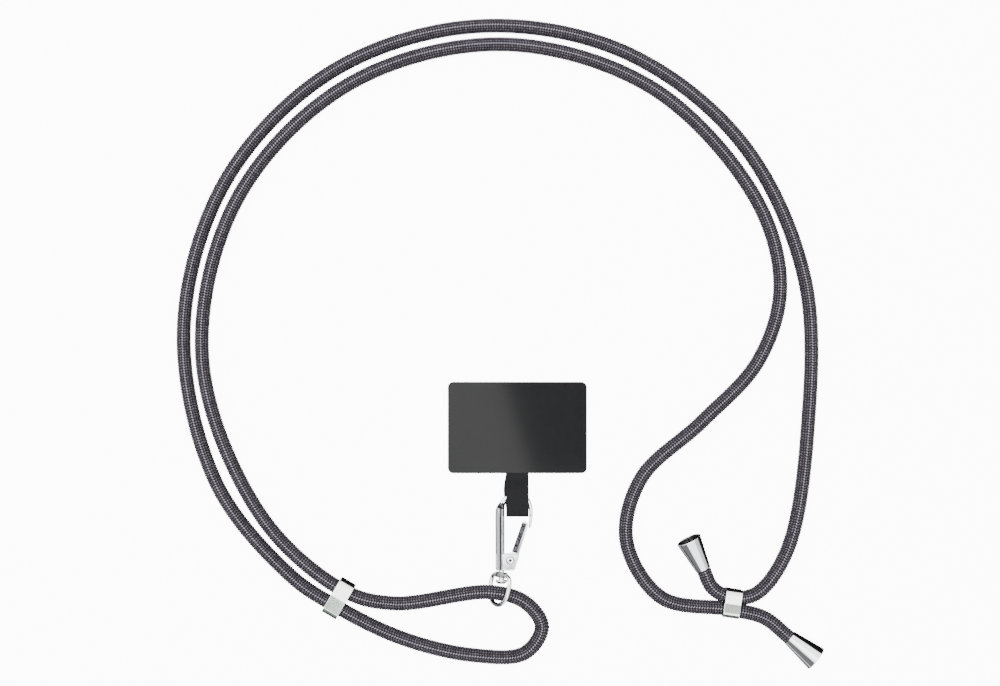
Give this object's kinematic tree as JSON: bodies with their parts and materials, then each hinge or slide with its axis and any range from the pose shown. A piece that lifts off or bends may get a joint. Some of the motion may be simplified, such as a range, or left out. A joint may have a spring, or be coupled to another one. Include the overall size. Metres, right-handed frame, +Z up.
{
  "type": "phone crossbody strap",
  "caption": "Long braided cord strap with sliding metal rings, end caps, a swivel hook and a flat tether pad that holds a phone by its case.",
  "frame": {"origin": "on the ground, under the middle of the outline of the strap as it lies", "axes": "+Z up from the ground the strap lies on, -Y towards the clasp's loop and the end caps, +X towards the side with the end caps"},
  "size_m": [0.2586, 0.2593, 0.0113],
  "materials": {
    "braid": "tight diamond braid, grey violet with pale flecks",
    "satin_metal": "bright satin plating",
    "polished_metal": "polished plating",
    "patch": "matt charcoal patch with a fine weave",
    "webbing": "matt charcoal ribbed webbing"
  },
  "bodies": {
    "root": {"cord": "braid", "loop_slider": "satin_metal", "length_slider": "satin_metal", "upper_end_cap": "polished_metal", "lower_end_cap": "polished_metal", "swivel_eye": "polished_metal"},
    "clasp": {"hook": "polished_metal", "gate_rivet": "polished_metal", "swivel_post": "polished_metal", "tether_loop": "webbing", "tether_pad": "patch"},
    "gate": {"gate": "polished_metal"}
  },
  "joints": [
    {"name": "swivel", "type": "hinge", "parent": "root", "child": "clasp", "pos_m": [0.0014, -0.0903, 0.00509], "axis": [0, 0.9954, -0.0958], "continuous": true},
    {"name": "gate_hinge", "type": "hinge", "parent": "clasp", "child": "gate", "pos_m": [0.0049, -0.08632, 0.00471], "axis": [0, 0.0958, 0.9954], "range_deg": [0, 20], "stiffness_Nm_per_rad": 0.02, "springref_deg": -17.19}
  ]
}
